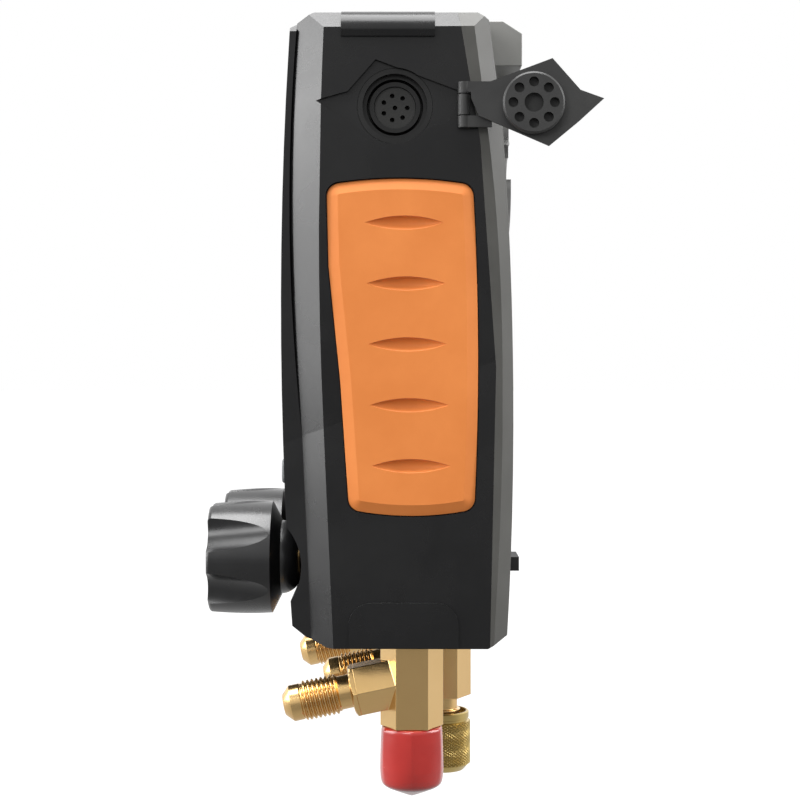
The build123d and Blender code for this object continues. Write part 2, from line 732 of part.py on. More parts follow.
with BuildPart() as knob_form:
    with BuildSketch(Plane.XZ):
        with BuildLine():
            hub_edge = (hub_radius, knob_length)
            hub_end = (bonnet_radius - 0.5, knob_length + hub_length)
            Polyline((0, hub_end[1]), (0, 0.8), (knob_radius * 0.6, 0.35), (knob_radius - 1.2, 0.0))
            ThreePointArc((knob_radius - 1.2, 0.0), (knob_radius - 0.35, 0.35), (knob_radius, 1.2))
            ThreePointArc((knob_radius, 1.2), (knob_radius + 0.25, knob_length * 0.45),
                          (knob_radius, knob_length - 2.6))
            Polyline((knob_radius, knob_length - 2.6), (knob_radius - 5.2, knob_length), hub_edge)
            ThreePointArc(hub_edge, (hub_radius - 1.0, knob_length + hub_length * 0.55), hub_end)
            Line(hub_end, (0, hub_end[1]))
        make_face()
    revolve(axis=Axis.Z)
    scallop = Pos(knob_radius + 3.6, 0, 0) * Rot(0, 11.5, 0) * Cylinder(
        7.0, 60, mode=Mode.PRIVATE)
    with PolarLocations(0, knob_lobes, start_angle=180 / knob_lobes):
        add(scallop, mode=Mode.SUBTRACT)
    with BuildSketch(Plane.XY.offset(6.0)):
        Circle(stem_radius + run_gap)
    extrude(amount=knob_length + hub_length, mode=Mode.SUBTRACT)

stem_front = -knob_front + 6.2
stem_back = -block_front + 4.0
plunger_gap = 0.1
with BuildPart() as stem_form:
    Cylinder(stem_radius, stem_back - stem_front, align=(Align.CENTER, Align.CENTER, Align.MIN))
    chamfer(stem_form.faces().sort_by(Axis.Z)[-1].edges(), 0.5)

with BuildPart() as plunger_form:
    with BuildSketch(Plane.XZ):
        with BuildLine():
            Polyline((0, 0), (plunger_radius, 0), (plunger_radius, 4.5), (0.8, 7.0), (0, 7.0),
                     close=True)
        make_face()
    revolve(axis=Axis.Z)

with BuildPart() as stem_seals:
    for x, z in stem_places:
        add(seal_form.part.moved(Location((x, axis_y + bonnet_front, z), inward)))
save(stem_seals, "stem_seals")

for side, name in ((-1, "low"), (1, "high")):
    x = side * valve_x
    save(placed(bonnet_form.part, x, axis_y + bonnet_front, valve_z, inward), f"bonnet_{name}")
    save(placed(knob_form.part, x, axis_y - knob_front, valve_z, inward), f"knob_{name}")
    save(placed(stem_form.part, x, axis_y + stem_front, valve_z, inward), f"stem_{name}")
    save(placed(plunger_form.part, x, axis_y + stem_back + plunger_gap, valve_z, inward),
         f"plunger_{name}")

sight_front = axis_y + bonnet_front
with BuildPart() as sight_glass_ring:
    with BuildSketch(Plane.XZ.offset(-sight_front)):
        with Locations((0, valve_z)):
            Circle(sight_radius + 2.0)
            Circle(sight_radius - 1.0, mode=Mode.SUBTRACT)
    extrude(amount=sight_front - block_front_y)
    with BuildSketch(Plane.XZ.offset(-sight_front)):
        with Locations((0, valve_z)):
            Circle(sight_radius + seat_gap)
    extrude(amount=-4.0, mode=Mode.SUBTRACT)
save(sight_glass_ring, "sight_glass_ring")
with BuildPart() as sight_glass:
    with BuildSketch(Plane.XZ.offset(-(sight_front + 0.8))):
        with Locations((0, valve_z)):
            Circle(sight_radius)
    extrude(amount=-3.1)
save(sight_glass, "sight_glass")

# ---------------------------------------------------------------- hose ports
branch_dir = (0, -cos(radians(branch_angle)), -sin(radians(branch_angle)))
with BuildPart() as tee_form:
    with BuildSketch(Plane.XY.offset(-hex_drop)):
        RegularPolygon(hex_flats / 2, 6, major_radius=False, rotation=30)
    extrude(amount=hex_drop)
    with BuildSketch(Plane.XY):
        Circle(shank_radius)
    extrude(amount=shank_length)
    with BuildSketch(Plane.XY.offset(-hex_drop)):
        Circle(flare_radius - 0.9)
    extrude(amount=-neck_length)
    with BuildSketch(Plane.XY.offset(-hex_drop - neck_length)):
        Circle(flare_radius)
    extrude(amount=-(port_length - neck_length))
    chamfer(tee_form.faces().sort_by(Axis.Z)[0].edges(), 1.6)
    branch = Plane(origin=(0, 0, -branch_drop), x_dir=(1, 0, 0), z_dir=branch_dir)
    with BuildSketch(branch):
        RegularPolygon(branch_hex_flats / 2, 6, major_radius=False)
    extrude(amount=branch_hex_end)
    with BuildSketch(branch):
        Circle(flare_radius - 0.9)
    extrude(amount=branch_hex_end + neck_length)
    with BuildSketch(branch.offset(branch_hex_end + neck_length)):
        Circle(flare_radius)
    extrude(amount=branch_length - branch_hex_end - neck_length - flare_tip)
    with BuildSketch(branch.offset(branch_length - flare_tip)):
        Circle(flare_radius - 0.7)
    extrude(amount=flare_tip)
    chamfer(tee_form.faces().sort_by(Axis.Y)[0].edges(), 2.2)
    with BuildSketch(branch):
        Circle(port_bore)
    extrude(amount=branch_length + 1, mode=Mode.SUBTRACT)
    with BuildSketch(Plane.XY.offset(-hex_drop - port_length)):
        Circle(port_bore)
    extrude(amount=hex_drop + port_length + shank_length, mode=Mode.SUBTRACT)

for (x, y), name in zip(port_places, ("low", "high", "centre")):
    save(placed(tee_form.part, x, y, bottom_z), f"tee_{name}")

with BuildPart() as vinyl_form:
    with BuildSketch(Plane.XZ):
        with BuildLine():
            low = -vinyl_length
            Polyline((0, 0), (vinyl_radius - 0.5, 0))
            ThreePointArc((vinyl_radius - 0.5, 0), (vinyl_radius + 0.2, low * 0.4),
                          (vinyl_radius - 0.5, low * 0.74))
            Polyline((vinyl_radius - 0.5, low * 0.74), (vinyl_radius - 1.9, low * 0.86), (0.8, low),
                     (0, low), (0, 0))
        make_face()
    revolve(axis=Axis.Z)
    Cylinder(flare_radius + run_gap, port_length + 0.3, mode=Mode.SUBTRACT,
             align=(Align.CENTER, Align.CENTER, Align.MAX))
cap_z = bottom_z - hex_drop - seat_gap
for (x, y), name in zip(port_places, ("low", "high")):
    save(placed(vinyl_form.part, x, y, cap_z), f"cap_{name}")

seal_thickness = 1.2
with BuildPart() as cap_centre:
    with BuildSketch(Plane.XY.offset(bottom_z - hex_drop - knurl_gap)):
        with Locations(port_places[2]):
            Circle(knurl_radius)
    extrude(amount=-knurl_length)
    chamfer(cap_centre.faces().sort_by(Axis.Z)[0].edges(), 1.8)
    with BuildSketch(Plane.XY.offset(bottom_z - hex_drop - knurl_gap)):
        with Locations(port_places[2]):
            Circle(knurl_radius - 1.4)
    extrude(amount=-2.2, mode=Mode.SUBTRACT)
    with BuildSketch(Plane.XY.offset(bottom_z - hex_drop - knurl_gap)):
        with Locations(port_places[2]):
            Circle(flare_radius + run_gap)
    extrude(amount=-(port_length - knurl_gap + seal_thickness + 0.3), mode=Mode.SUBTRACT)
save(cap_centre, "cap_centre")
with BuildPart() as cap_seal:
    with BuildSketch(Plane.XY.offset(bottom_z - hex_drop - port_length - seat_gap)):
        with Locations(port_places[2]):
            Circle(flare_radius - 0.1)
    extrude(amount=-seal_thickness)
save(cap_seal, "cap_seal")

# ---------------------------------------------------------------- pressure sensors
sensor_radius = 6.0
with BuildPart() as sensor_form:
    with BuildSketch(Plane.XY):
        RegularPolygon(sensor_radius, 6, major_radius=False)
    extrude(amount=4.0)
    with BuildSketch(Plane.XY.offset(4.0)):
        Circle(sensor_radius - 0.6)
    extrude(amount=9.0)
    with BuildSketch(Plane.XY.offset(13.0)):
        with GridLocations(2.4, 0, 3, 1):
            Rectangle(0.8, 0.8)
    extrude(amount=3.0)
for side, name in ((-1, "low"), (1, "high")):
    save(placed(sensor_form.part, side * (inner_half - sensor_radius - 1.6), axis_y + 2, block_top),
         f"sensor_{name}")

# ---------------------------------------------------------------- grips, sockets and covers
pad_outer_x = half_width - waist_depth + pad_proud
with BuildPart() as grip_pad_right:
    extrude(pad_outline(pad_bed_x + seat_gap, 0), amount=pad_outer_x - pad_bed_x - seat_gap)
    rim = grip_pad_right.faces().sort_by(Axis.X)[-1]
    chamfer(rim.edges(), 3.0, 1.2, reference=rim)
    groove_pitch = pad_length / (groove_count + 0.55)
    for n in range(groove_count):
        z = pad_middle + ((groove_count - 1) / 2 - n) * groove_pitch + 0.8
        y = axis_y + 1.2 + 0.45 * n
        with BuildSketch(Plane(origin=(pad_outer_x, y, z), x_dir=(0, 1, 0), z_dir=(1, 0, 0))):
            with BuildLine():
                ThreePointArc((-groove_length / 2, 0), (0, groove_height / 2), (groove_length / 2, 0))
                Line((groove_length / 2, 0), (-groove_length / 2, 0))
            make_face()
        revolve(axis=Axis((pad_outer_x, y, z), (0, 1, 0)), mode=Mode.SUBTRACT)
save(grip_pad_right, "grip_pad_right")
save(mirrored(grip_pad_right), "grip_pad_left")

insert_radius = 5.7
insert_x = seat_x - plug_depth - 1.2
with BuildPart() as probe_socket_right:
    with BuildSketch(Plane.YZ.offset(seat_x)):
        with Locations((socket_mid_y, socket_z)):
            Circle(socket_bore + socket_wall)
    extrude(amount=-socket_depth)
    with BuildSketch(Plane.YZ.offset(seat_x)):
        with Locations((socket_mid_y, socket_z)):
            Circle(socket_bore)
    extrude(amount=-(plug_depth + 0.4), mode=Mode.SUBTRACT)
    with BuildSketch(Plane.YZ.offset(seat_x)):
        with Locations((socket_mid_y, socket_z)):
            Circle(socket_bore - 1.1)
            Circle(insert_radius + 1.3, mode=Mode.SUBTRACT)
    extrude(amount=-(socket_depth - 1.6), mode=Mode.SUBTRACT)
    with BuildSketch(Plane.YZ.offset(seat_x)):
        with Locations((socket_mid_y, socket_z)):
            Circle(insert_radius + seat_gap)
    extrude(amount=-socket_depth, mode=Mode.SUBTRACT)
save(probe_socket_right, "probe_socket_right")
save(mirrored(probe_socket_right), "probe_socket_left")

with BuildPart() as socket_insert_right:
    with BuildSketch(Plane.YZ.offset(insert_x)):
        with Locations((socket_mid_y, socket_z)):
            Circle(insert_radius)
    extrude(amount=-(socket_depth + 1.5))
    with BuildSketch(Plane.YZ.offset(insert_x)):
        with Locations((socket_mid_y, socket_z)):
            Circle(0.65)
            with PolarLocations(3.4, 7):
                Circle(0.65)
    extrude(amount=-4, mode=Mode.SUBTRACT)
save(socket_insert_right, "socket_insert_right")
save(mirrored(socket_insert_right), "socket_insert_left")

with BuildPart() as cover_closed:
    extrude(star(seat_x + seat_gap, cover_tip), amount=cover_thickness)
    with BuildSketch(Plane.YZ.offset(seat_x + seat_gap)):
        with Locations((socket_mid_y, socket_z)):
            Circle(plug_radius)
    extrude(amount=-plug_depth)
    chamfer(cover_closed.faces().sort_by(Axis.X)[0].edges(), 0.5)
    with BuildSketch(Plane.YZ.offset(seat_x - plug_depth)):
        with Locations((socket_mid_y, socket_z)):
            Circle(2.6)
            with PolarLocations(5.6, 8):
                Circle(1.35)
    extrude(amount=2.0 + seat_gap, mode=Mode.SUBTRACT)
    tab_low, tab_high = seat_x + seat_gap + cover_thickness + 0.3, hinge_x + 0.2
    with BuildPart(mode=Mode.PRIVATE) as strap_root:
        extrude(star(seat_x + seat_gap, cover_tip), amount=tab_high - seat_x - seat_gap)
        with BuildSketch(Plane.XZ.offset(-(hinge_y - 7.6))):
            with Locations((half_width, socket_z)):
                Rectangle(20, 2 * tab_reach)
        extrude(amount=-4.0, mode=Mode.INTERSECT)
    add(strap_root.part)
    for side in (-1, 1):
        tab_z = socket_z + side * (tab_reach + anchor_half + fit_gap) / 2
        tab_span = tab_reach - anchor_half - fit_gap
        with BuildSketch(Plane.XY.offset(tab_z - tab_span / 2)):
            with Locations(((tab_low + tab_high) / 2, hinge_y - 3.8)):
                Rectangle(tab_high - tab_low, 7.6)
            with Locations((hinge_x, hinge_y)):
                Circle(knuckle_radius)
                Circle(knuckle_pin + run_gap, mode=Mode.SUBTRACT)
        extrude(amount=tab_span)
    with BuildSketch(Plane.YZ.offset(seat_x)):
        with Locations((hinge_y, socket_z)):
            Rectangle(2 * (knuckle_radius + fit_gap), 2 * (anchor_half + fit_gap))
    extrude(amount=10, mode=Mode.SUBTRACT)

with BuildPart() as cover_strap_right:
    with BuildSketch(Plane.XY.offset(socket_z - anchor_half)):
        with Locations((hinge_x, hinge_y)):
            Circle(knuckle_radius)
        with Locations(((hinge_x + seat_x - anchor_depth) / 2, hinge_y)):
            Rectangle(hinge_x - seat_x + anchor_depth, 2 * knuckle_radius)
    extrude(amount=2 * anchor_half)
    with BuildSketch(Plane.XY.offset(socket_z - anchor_half - 3.3)):
        with Locations((hinge_x, hinge_y)):
            Circle(knuckle_pin)
    extrude(amount=2 * anchor_half + 6.6)
save(cover_strap_right, "cover_strap_right")
save(mirrored(cover_strap_right), "cover_strap_left")
save(mirrored(cover_closed), "socket_cover_left")

hinge_line = Axis((hinge_x, hinge_y, socket_z), (0, 0, 1))
with BuildPart() as socket_cover_right:
    add(cover_closed.part.rotate(hinge_line, 180))
save(socket_cover_right, "socket_cover_right")
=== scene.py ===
"""Looks of a two-valve digital refrigerant manifold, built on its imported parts, in metres."""
import json
import math

import bmesh
import bpy
import numpy as np
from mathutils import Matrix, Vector

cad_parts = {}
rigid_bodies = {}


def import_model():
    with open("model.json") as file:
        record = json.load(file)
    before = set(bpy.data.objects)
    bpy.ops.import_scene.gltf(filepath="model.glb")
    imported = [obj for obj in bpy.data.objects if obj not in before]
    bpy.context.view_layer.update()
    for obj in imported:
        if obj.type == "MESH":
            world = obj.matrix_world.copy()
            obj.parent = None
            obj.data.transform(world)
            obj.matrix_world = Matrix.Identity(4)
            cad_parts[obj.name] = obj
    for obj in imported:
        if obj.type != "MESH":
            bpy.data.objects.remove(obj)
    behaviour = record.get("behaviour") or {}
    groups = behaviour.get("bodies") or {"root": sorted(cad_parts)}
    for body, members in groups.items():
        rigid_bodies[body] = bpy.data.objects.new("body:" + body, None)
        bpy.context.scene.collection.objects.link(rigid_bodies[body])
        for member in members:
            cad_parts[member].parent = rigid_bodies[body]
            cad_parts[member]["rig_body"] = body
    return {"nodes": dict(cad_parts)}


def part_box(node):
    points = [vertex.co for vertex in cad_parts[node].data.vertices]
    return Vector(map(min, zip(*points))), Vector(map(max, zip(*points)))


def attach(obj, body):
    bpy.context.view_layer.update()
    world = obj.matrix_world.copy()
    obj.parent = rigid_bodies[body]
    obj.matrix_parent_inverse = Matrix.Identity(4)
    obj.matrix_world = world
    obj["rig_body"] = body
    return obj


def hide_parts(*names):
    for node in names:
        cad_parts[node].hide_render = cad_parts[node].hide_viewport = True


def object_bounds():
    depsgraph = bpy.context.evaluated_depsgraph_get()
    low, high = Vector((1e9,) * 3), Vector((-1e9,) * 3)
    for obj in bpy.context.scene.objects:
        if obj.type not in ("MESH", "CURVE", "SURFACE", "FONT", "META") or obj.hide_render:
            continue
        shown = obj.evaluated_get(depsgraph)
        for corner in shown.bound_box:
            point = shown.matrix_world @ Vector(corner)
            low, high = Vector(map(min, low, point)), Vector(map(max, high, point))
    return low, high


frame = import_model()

MM = 0.001
cad_low, cad_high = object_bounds()

# ---------------------------------------------------------------- places taken from the frame
def middle_of(node_name):
    """Middle of a node's box, in x and y."""
    low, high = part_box(node_name)
    return (low.x + high.x) / 2, (low.y + high.y) / 2


casing_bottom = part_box("main_shell")[0].z
port_y = middle_of("cap_high")[1]
tee_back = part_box("tee_high")[1].y
tee_spots = {name: (middle_of("tee_" + name)[0],
                    port_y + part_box("tee_" + name)[1].y - tee_back)
             for name in ("low", "high", "centre")}

# ---------------------------------------------------------------- sizes of the ports and casing
branch_angle = math.radians(12.0)
branch_direction = (0.0, -math.cos(branch_angle), -math.sin(branch_angle))
branch_drop = 10.0 * MM
branch_collar_end = 17.2 * MM
branch_neck = 4.0 * MM
branch_length = 36.5 * MM
branch_tip = 5.2 * MM
crest_radius = 5.55 * MM
root_radius = 4.85 * MM
thread_pitch = 1.27 * MM
branch_bore = 2.4 * MM
crease_y = -31.2 * MM
crease_z = casing_bottom + 68.5 * MM
waist_angle = math.radians(21.6)
collar_flats = 13.4 * MM
collar_chamfer = 1.5 * MM
tee_flats = 15.3 * MM
touch = 0.05 * MM                               # two places nearer than this are the same
cap_travel = 20 * MM
floor_level = cad_low.z - 1.2 * cap_travel      # the pulled caps stay above the floor


# ---------------------------------------------------------------- mesh helpers
def link(name, mesh):
    """New object for a mesh, in the scene, at the origin."""
    piece = bpy.data.objects.new(name, mesh)
    bpy.context.scene.collection.objects.link(piece)
    return piece


def shade_smooth(mesh, sharp_angle):
    """Smooth shading, broken at edges sharper than the angle, which is in degrees."""
    mesh.polygons.foreach_set("use_smooth", np.ones(len(mesh.polygons), bool))
    mesh.set_sharp_from_angle(angle=math.radians(sharp_angle))


def round_edges(piece, width, sharp_angle):
    """Smooth shading, with each edge sharper than the angle rounded by a narrow bevel."""
    shade_smooth(piece.data, sharp_angle)
    bevel = piece.modifiers.new("edge_round", "BEVEL")
    bevel.width = width
    bevel.segments = 2
    bevel.limit_method = "ANGLE"
    bevel.angle_limit = math.radians(sharp_angle)
    bevel.harden_normals = True
    bevel.use_clamp_overlap = True


def turn_of(columns):
    """Angles of a full turn, one for each column of a grid that closes on itself."""
    return np.linspace(0, 2 * np.pi, columns, endpoint=False)


def wrapped_grid(points):
    """Quads over a grid of shape (rows, columns, 3) that closes round its columns; each end row is
    filled by a fan to its own middle point."""
    rows, columns, _ = points.shape
    here = np.arange(rows * columns).reshape(rows, columns)
    beside = np.roll(here, -1, axis=1)
    quads = np.stack([here[:-1], beside[:-1], beside[1:], here[1:]], axis=-1).reshape(-1, 4)
    first, last = np.full(columns, rows * columns), np.full(columns, rows * columns + 1)
    first_fan = np.stack([first, beside[0], here[0]], axis=-1)
    last_fan = np.stack([last, here[-1], beside[-1]], axis=-1)
    vertices = np.vstack([points.reshape(-1, 3), points[0].mean(axis=0), points[-1].mean(axis=0)])
    return vertices, quads.tolist() + first_fan.tolist() + last_fan.tolist()


def solid_from_grid(name, points, sharp_angle):
    """Closed mesh from a wrapped grid, its normals turned outwards."""
    vertices, faces = wrapped_grid(points)
    mesh = bpy.data.meshes.new(name)
    mesh.from_pydata(vertices.tolist(), [], faces)
    shape = bmesh.new()
    shape.from_mesh(mesh)
    bmesh.ops.recalc_face_normals(shape, faces=shape.faces)
    shape.to_mesh(mesh)
    shape.free()
    shade_smooth(mesh, sharp_angle)
    return link(name, mesh)


def along_axis(profile_z, radius, origin, direction):
    """Grid of points at radius(row, column) round an axis:
    origin + z * direction + radius * (cos angle * side + sin angle * across)."""
    direction = np.array(direction) / np.linalg.norm(direction)
    side = np.array([1.0, 0.0, 0.0])
    across = np.cross(direction, side)
    angle = turn_of(radius.shape[1])
    return (np.array(origin) + profile_z[:, None, None] * direction
            + radius[:, :, None] * (np.cos(angle)[None, :, None] * side
                                    + np.sin(angle)[None, :, None] * across))


def merged_copy(node_name, name):
    """Copy of a CAD node's mesh as one closed surface with flat faces joined, ready for a bevel."""
    mesh = frame["nodes"][node_name].data.copy()
    mesh.name = name
    if mesh.has_custom_normals:
        mesh.attributes.remove(mesh.attributes["custom_normal"])
    shape = bmesh.new()
    shape.from_mesh(mesh)
    bmesh.ops.remove_doubles(shape, verts=shape.verts, dist=0.002 * MM)
    bmesh.ops.dissolve_limit(shape, angle_limit=math.radians(0.6), verts=shape.verts,
                             edges=shape.edges)
    shape.to_mesh(mesh)
    shape.free()
    return mesh


def keep_crease(mesh):
    """Marks as sharp each edge whose two ends lie on the casing's diagonal crease, the line through
    (crease_y, crease_z) that rises towards the back by waist_angle."""
    reach = 0.35 * MM
    places = np.empty(len(mesh.vertices) * 3)
    mesh.vertices.foreach_get("co", places)
    y, z = places.reshape(-1, 3)[:, 1:].T
    aside = (z - crease_z) * math.cos(waist_angle) - (y - crease_y) * math.sin(waist_angle)
    ends = np.empty(len(mesh.edges) * 2, int)
    mesh.edges.foreach_get("vertices", ends)
    on_crease = (np.abs(aside) < reach)[ends.reshape(-1, 2)].all(axis=1)
    sharp = np.empty(len(mesh.edges), bool)
    mesh.edges.foreach_get("use_edge_sharp", sharp)
    mesh.edges.foreach_set("use_edge_sharp", sharp | on_crease)


def softened(node_name, width):
    """Copy of a CAD node with its sharp edges rounded by a narrow bevel; it stands for the node."""
    mesh = merged_copy(node_name, node_name + "_finish")
    piece = link(mesh.name, mesh)
    round_edges(piece, width, 32.0)
    keep_crease(mesh)
    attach(piece, frame["nodes"][node_name]["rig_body"])
    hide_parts(node_name)
    return piece


# ---------------------------------------------------------------- shader groups
def new_group(name, inputs, outputs):
    """Shader node group with float inputs {name: default} and outputs {name: type}."""
    group = bpy.data.node_groups.new(name, "ShaderNodeTree")
    for label, default in inputs.items():
        socket = group.interface.new_socket(name=label, in_out="INPUT",
                                            socket_type="NodeSocketFloat")
        socket.default_value = default
    for label, kind in outputs.items():
        group.interface.new_socket(name=label, in_out="OUTPUT", socket_type=kind)
    entry = group.nodes.new("NodeGroupInput")
    leave = group.nodes.new("NodeGroupOutput")
    return group, entry, leave


def node(tree, kind, values=None, **settings):
    """Adds a node, sets its properties and its unlinked inputs."""
    made = tree.nodes.new(kind)
    for key, value in settings.items():
        setattr(made, key, value)
    for key, value in (values or {}).items():
        made.inputs[key].default_value = value
    return made


def object_noise(tree, scale, detail=2.0, rough=0.5):
    """Noise on object coordinates; scale counts features per metre and is a number or a socket."""
    place = node(tree, "ShaderNodeTexCoord")
    noise = node(tree, "ShaderNodeTexNoise", {"Detail": detail, "Roughness": rough})
    tree.links.new(place.outputs["Object"], noise.inputs["Vector"])
    if isinstance(scale, float):
        noise.inputs["Scale"].default_value = scale
    else:
        tree.links.new(scale, noise.inputs["Scale"])
    return noise


def moulded_grain_group():
    """Spark-eroded grain of moulded plastic: fine noise height, with a mask of handling marks."""
    group, entry, leave = new_group("moulded_grain", {"Grain Scale": 2600.0, "Marks Scale": 38.0},
                                    {"Height": "NodeSocketFloat", "Marks": "NodeSocketFloat"})
    fine = object_noise(group, entry.outputs["Grain Scale"], 3.0, 0.6)
    broad = object_noise(group, entry.outputs["Marks Scale"], 4.0, 0.62)
    spread = node(group, "ShaderNodeMapRange", {"From Min": 0.42, "From Max": 0.68})
    group.links.new(broad.outputs["Fac"], spread.inputs["Value"])
    group.links.new(fine.outputs["Fac"], leave.inputs["Height"])
    group.links.new(spread.outputs["Result"], leave.inputs["Marks"])
    return group


def turned_metal_group():
    """Fine turning and milling lines with a slow tone change, for machined brass and steel."""
    group, entry, leave = new_group("turned_metal", {"Line Scale": 900.0, "Tone Scale": 60.0},
                                    {"Height": "NodeSocketFloat", "Tone": "NodeSocketFloat"})
    place = node(group, "ShaderNodeTexCoord")
    stretch = node(group, "ShaderNodeMapping", {"Scale": (0.25, 0.25, 4.0)})
    group.links.new(place.outputs["Object"], stretch.inputs["Vector"])
    lines = node(group, "ShaderNodeTexNoise", {"Detail": 3.0, "Roughness": 0.55})
    group.links.new(stretch.outputs["Vector"], lines.inputs["Vector"])
    group.links.new(entry.outputs["Line Scale"], lines.inputs["Scale"])
    tone = object_noise(group, entry.outputs["Tone Scale"], 3.0, 0.6)
    group.links.new(lines.outputs["Fac"], leave.inputs["Height"])
    group.links.new(tone.outputs["Fac"], leave.inputs["Tone"])
    return group


grain_group = moulded_grain_group()
metal_group = turned_metal_group()


# ---------------------------------------------------------------- materials
def new_material(name):
    """New node material, with its node tree and its Principled shader."""
    material = bpy.data.materials.new(name)
    material.use_nodes = True
    tree = material.node_tree
    return material, tree, tree.nodes["Principled BSDF"]


def vary_surface(tree, shader, mask, dark, light, rough, rough_spread):
    """Colour from dark to light, and roughness round its middle value, both by one mask."""
    tone = node(tree, "ShaderNodeMix", data_type="RGBA")
    tone.inputs["A"].default_value = (*dark, 1)
    tone.inputs["B"].default_value = (*light, 1)
    tree.links.new(mask, tone.inputs["Factor"])
    tree.links.new(tone.outputs["Result"], shader.inputs["Base Color"])
    gloss = node(tree, "ShaderNodeMapRange", {"To Min": rough - rough_spread,
                                              "To Max": rough + rough_spread})
    tree.links.new(mask, gloss.inputs["Value"])
    tree.links.new(gloss.outputs["Result"], shader.inputs["Roughness"])


def raise_surface(tree, shader, height, strength, depth):
    """Bump from a height, depth being in metres."""
    relief = node(tree, "ShaderNodeBump", {"Strength": strength, "Distance": depth})
    tree.links.new(height, relief.inputs["Height"])
    tree.links.new(relief.outputs["Normal"], shader.inputs["Normal"])


def moulded(name, dark, light, rough, rough_spread, grain=2600.0, bump=0.10, specular=0.35,
            coat=0.0, sheen=0.0):
    """Moulded plastic or rubber: tone between dark and light by handling marks, grain as a bump."""
    material, tree, shader = new_material(name)
    marks = node(tree, "ShaderNodeGroup", node_tree=grain_group)
    marks.inputs["Grain Scale"].default_value = grain
    vary_surface(tree, shader, marks.outputs["Marks"], dark, light, rough, rough_spread)
    raise_surface(tree, shader, marks.outputs["Height"], bump, 0.12 * MM)
    shader.inputs["Specular IOR Level"].default_value = specular
    shader.inputs["Coat Weight"].default_value = coat
    shader.inputs["Coat Roughness"].default_value = 0.12
    shader.inputs["Sheen Weight"].default_value = sheen
    shader.inputs["Sheen Roughness"].default_value = 0.5
    return material


def machined(name, dark, light, rough, rough_spread):
    """Machined metal: tone between dark and light, fine lines as a bump."""
    material, tree, shader = new_material(name)
    shader.inputs["Metallic"].default_value = 1.0
    work = node(tree, "ShaderNodeGroup", node_tree=metal_group)
    work.inputs["Line Scale"].default_value = 900.0
    vary_surface(tree, shader, work.outputs["Tone"], dark, light, rough, rough_spread)
    raise_surface(tree, shader, work.outputs["Height"], 0.08, 0.10 * MM)
    return material


def clear_window(name, rough, tint):
    """Clear hard-coated plastic, whose gloss varies a little by a slow noise."""
    material, tree, shader = new_material(name)
    shader.inputs["Base Color"].default_value = (*tint, 1)
    shader.inputs["Transmission Weight"].default_value = 1.0
    shader.inputs["IOR"].default_value = 1.49
    haze = object_noise(tree, 90.0)
    gloss = node(tree, "ShaderNodeMapRange", {"To Min": rough * 0.6, "To Max": rough * 1.4})
    tree.links.new(haze.outputs["Fac"], gloss.inputs["Value"])
    tree.links.new(gloss.outputs["Result"], shader.inputs["Roughness"])
    return material


shell_black = moulded("shell_black", (0.0065, 0.0065, 0.0068), (0.0085, 0.0085, 0.0088), 0.28, 0.03,
                      specular=0.36)
frame_black = moulded("frame_black", (0.008, 0.008, 0.0085), (0.010, 0.010, 0.0105), 0.31, 0.03,
                      specular=0.36)
# rear shell and battery door: a grey far paler than the casing black, partly their own grey and
# partly painted light falling from the rear and top
rear_grey = moulded("rear_grey", (0.062, 0.061, 0.056), (0.075, 0.074, 0.068), 0.46, 0.05)
bracket_grey = moulded("bracket_grey", (0.175, 0.175, 0.165), (0.20, 0.20, 0.19), 0.5, 0.05)
grip_orange = moulded("grip_orange", (0.62, 0.186, 0.037), (0.67, 0.210, 0.045), 0.56, 0.06,
                      grain=1500.0, bump=0.16, specular=0.3, sheen=0.12)
cover_rubber = moulded("cover_rubber", (0.026, 0.026, 0.026), (0.036, 0.036, 0.035), 0.5, 0.06,
                       grain=1800.0, bump=0.12)
socket_black = moulded("socket_black", (0.008, 0.008, 0.008), (0.012, 0.012, 0.012), 0.3, 0.03)
insert_black = moulded("insert_black", (0.022, 0.022, 0.021), (0.03, 0.03, 0.029), 0.35, 0.05)
knob_black = moulded("knob_black", (0.005, 0.005, 0.0055), (0.007, 0.007, 0.0075), 0.30, 0.05,
                     specular=0.65)
key_rubber = moulded("key_rubber", (0.11, 0.115, 0.12), (0.14, 0.145, 0.15), 0.55, 0.05)
vinyl_red = moulded("vinyl_red", (0.34, 0.015, 0.011), (0.39, 0.019, 0.014), 0.24, 0.05,
                    grain=500.0, bump=0.03, specular=0.5, coat=0.5)
vinyl_blue = moulded("vinyl_blue", (0.010, 0.08, 0.42), (0.014, 0.10, 0.50), 0.24, 0.05,
                     grain=500.0, bump=0.03, specular=0.5, coat=0.5)
seal_rubber = moulded("seal_rubber", (0.012, 0.012, 0.012), (0.02, 0.02, 0.02), 0.6, 0.05)
tray_black = moulded("tray_black", (0.015, 0.015, 0.015), (0.02, 0.02, 0.02), 0.55, 0.05)
board_green = moulded("board_green", (0.015, 0.09, 0.04), (0.02, 0.12, 0.05), 0.3, 0.05, bump=0.03)
lcd_glass = moulded("lcd_glass", (0.33, 0.38, 0.30), (0.36, 0.41, 0.33), 0.22, 0.03, bump=0.01)
lcd_ink = moulded("lcd_ink", (0.016, 0.02, 0.02), (0.02, 0.025, 0.025), 0.4, 0.03, bump=0.01)
mask_ink = moulded("mask_ink", (0.012, 0.012, 0.013), (0.015, 0.015, 0.016), 0.3, 0.03, bump=0.01)
key_ink = moulded("key_ink", (0.72, 0.72, 0.70), (0.8, 0.8, 0.78), 0.5, 0.03, bump=0.02)
cell_wrap = moulded("cell_wrap", (0.02, 0.05, 0.12), (0.03, 0.07, 0.16), 0.3, 0.05, bump=0.02)
brass = machined("brass", (0.66, 0.43, 0.175), (0.73, 0.495, 0.225), 0.24, 0.05)
knurled_brass = machined("knurled_brass", (0.43, 0.315, 0.11), (0.54, 0.405, 0.155), 0.30, 0.05)
steel = machined("steel", (0.36, 0.36, 0.355), (0.46, 0.46, 0.45), 0.28, 0.05)
